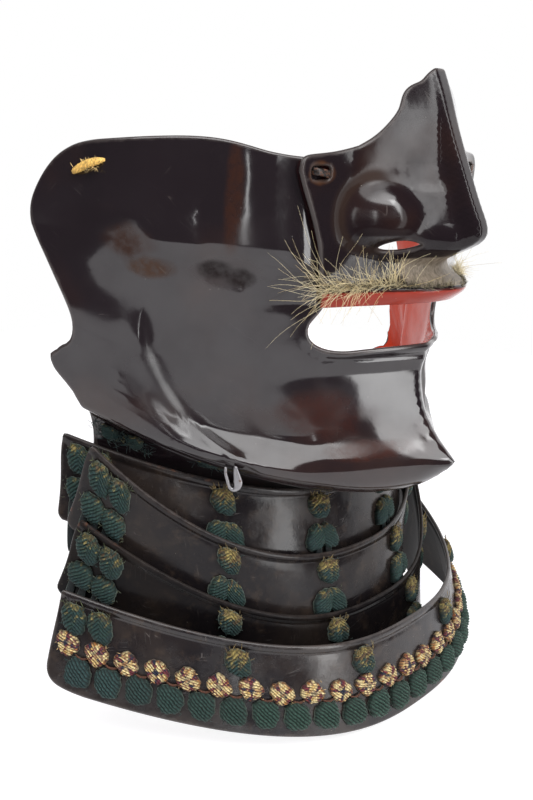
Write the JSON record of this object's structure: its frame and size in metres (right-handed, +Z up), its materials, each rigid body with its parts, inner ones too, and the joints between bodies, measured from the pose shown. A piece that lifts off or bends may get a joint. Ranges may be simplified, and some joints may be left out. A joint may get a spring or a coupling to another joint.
{
  "type": "samurai face guard with throat guard",
  "caption": "Black lacquered half mask for armour with a removable nose piece, bristle moustache, open mouth and a laced throat guard of curved lames.",
  "frame": {"origin": "the inside of the chin plate, where the wearer's chin rests, on the plane of symmetry", "axes": "+X to the wearer's left, +Y back towards the wearer, +Z up; the mask faces -Y"},
  "size_m": [0.205, 0.1065, 0.2171],
  "materials": {
    "mask_lacquer": "gloss near-black lacquer over iron, red lacquer inside",
    "nose_lacquer": "gloss near-black lacquer over iron, red lacquer on the lip and inside",
    "lame_lacquer": "satin black lacquer over iron, worn brown along the rims",
    "bristle": "stiff straw-coloured hair",
    "iron": "aged iron",
    "green_braid": "braided silk, dark green-blue faded to yellow-brown",
    "mixed_braid": "braided silk in cream, red-brown and dark blue",
    "gold_cord": "twisted gold-yellow cord"
  },
  "bodies": {
    "root": {"cheek_cord_left": "gold_cord", "cheek_cord_right": "gold_cord", "cord_hook_left": "iron", "cord_hook_right": "iron", "hem_braid": "green_braid", "hem_rosettes": "mixed_braid", "lacing_0_front_left": "green_braid", "lacing_0_front_right": "green_braid", "lacing_0_middle_left": "green_braid", "lacing_0_middle_right": "green_braid", "lacing_0_rear_a_left": "green_braid", "lacing_0_rear_a_right": "green_braid", "lacing_0_rear_b_left": "green_braid", "lacing_0_rear_b_right": "green_braid", "lacing_1_front_left": "green_braid", "lacing_1_front_right": "green_braid", "lacing_1_middle_left": "green_braid", "lacing_1_middle_right": "green_braid", "lacing_1_rear_a_left": "green_braid", "lacing_1_rear_a_right": "green_braid", "lacing_1_rear_b_left": "green_braid", "lacing_1_rear_b_right": "green_braid", "lacing_2_front_left": "green_braid", "lacing_2_front_right": "green_braid", "lacing_2_middle_left": "green_braid", "lacing_2_middle_right": "green_braid", "lacing_2_rear_a_left": "green_braid", "lacing_2_rear_a_right": "green_braid", "lacing_2_rear_b_left": "green_braid", "lacing_2_rear_b_right": "green_braid", "lacing_3_front_left": "green_braid", "lacing_3_front_right": "green_braid", "lacing_3_middle_left": "green_braid", "lacing_3_middle_right": "green_braid", "lacing_3_rear_a_left": "green_braid", "lacing_3_rear_a_right": "green_braid", "lacing_3_rear_b_left": "green_braid", "lacing_3_rear_b_right": "green_braid", "lacing_4_front_left": "green_braid", "lacing_4_front_right": "green_braid", "lacing_4_middle_left": "green_braid", "lacing_4_middle_right": "green_braid", "lacing_4_rear_a_left": "green_braid", "lacing_4_rear_a_right": "green_braid", "lacing_4_rear_b_left": "green_braid", "lacing_4_rear_b_right": "green_braid", "mask_body": "mask_lacquer", "moustache_left": "bristle", "moustache_right": "bristle", "nose_peg_left": "iron", "nose_peg_right": "iron", "nose_piece": "nose_lacquer", "throat_lame_1": "lame_lacquer", "throat_lame_2": "lame_lacquer", "throat_lame_3": "lame_lacquer", "throat_lame_4": "lame_lacquer"}
  },
  "joints": []
}
